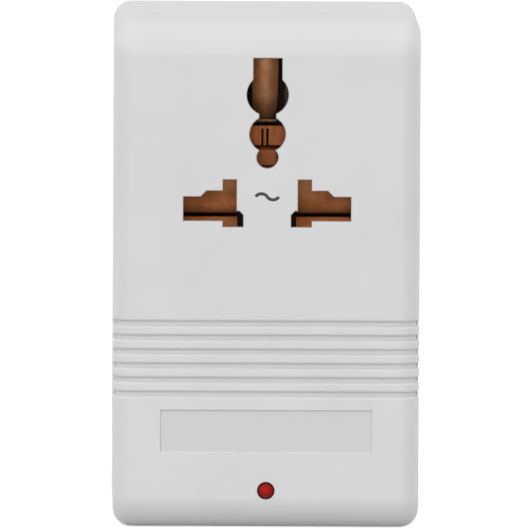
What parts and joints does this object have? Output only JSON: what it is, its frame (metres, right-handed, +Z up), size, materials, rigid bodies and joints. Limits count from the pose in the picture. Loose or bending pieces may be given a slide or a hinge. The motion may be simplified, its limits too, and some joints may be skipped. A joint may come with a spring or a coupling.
{
  "type": "step-down voltage converter",
  "caption": "Upright white plug-in voltage converter with a universal socket in its ribbed front, a red indicator, a round-pin plug on the back and a side voltage selector.",
  "frame": {"origin": "middle of the flat base, at half the case's width and depth", "axes": "+Z up, +Y out of the back along the plug pins, -Y out of the front with the socket, +X to the right seen from the front"},
  "size_m": [0.054, 0.0838, 0.0907],
  "materials": {
    "case_plastic": "fine satin white moulding",
    "screw_steel": "zinc-plated steel",
    "indicator_red": "polished red diffused lens",
    "tinned_wire": "tinned wire",
    "board_paper": "paper laminate board",
    "resistor_body": "lacquered resistor body",
    "diode_body": "black epoxy body",
    "carrier_plastic": "dark brown moulding",
    "contact_bronze": "slightly tarnished spring bronze",
    "core_steel": "varnished laminations",
    "bobbin_nylon": "black nylon",
    "winding_copper": "enamelled copper wire",
    "winding_tape": "yellow polyester tape",
    "insulation_fibre": "grey vulcanised fibre",
    "fuse_metal": "lacquered metal body",
    "pin_nickel": "nickel-plated brass",
    "retainer_plastic": "dark moulding",
    "selector_steel": "plated steel plate",
    "selector_plastic": "dark brown moulding",
    "slide_plastic": "black moulding",
    "terminal_brass": "plain brass",
    "wire_brown": "brown insulation",
    "wire_blue": "blue insulation",
    "wire_red": "red insulation",
    "wire_black": "black insulation"
  },
  "bodies": {
    "converter": {"front_shell": "case_plastic", "rear_shell": "case_plastic", "housing_screws": "screw_steel", "board_screws": "screw_steel", "carrier_screws": "screw_steel", "cover_screws": "screw_steel", "core_screws": "screw_steel", "retainer_screw": "screw_steel", "selector_screws": "screw_steel", "indicator_led": "indicator_red", "led_leads": "tinned_wire", "fuse_leads": "tinned_wire", "led_board": "board_paper", "led_resistor": "resistor_body", "led_diode": "diode_body", "contact_carrier": "carrier_plastic", "carrier_cover": "carrier_plastic", "line_contact": "contact_bronze", "neutral_contact": "contact_bronze", "earth_contact": "contact_bronze", "core_e_laminations": "core_steel", "core_i_laminations": "core_steel", "bobbin": "bobbin_nylon", "inner_winding": "winding_copper", "outer_winding": "winding_copper", "winding_tape": "winding_tape", "insulation_sheet": "insulation_fibre", "thermal_fuse": "fuse_metal", "plug_pin_left": "pin_nickel", "plug_pin_right": "pin_nickel", "pin_retainer": "retainer_plastic", "selector_plate": "selector_steel", "selector_body": "selector_plastic", "selector_terminals": "terminal_brass", "live_input_wire": "wire_brown", "fuse_wire": "wire_brown", "line_output_wire": "wire_brown", "neutral_input_wire": "wire_blue", "neutral_output_wire": "wire_blue", "high_tap_wire": "wire_red", "led_wire_left": "wire_red", "low_tap_wire": "wire_black", "led_wire_right": "wire_black"},
    "selector": {"selector_slide": "slide_plastic", "selector_bridge": "terminal_brass"}
  },
  "joints": [
    {"name": "selector_travel", "type": "slide", "parent": "converter", "child": "selector", "axis": [0, 0, -1], "range_m": [0, 0.004]}
  ]
}
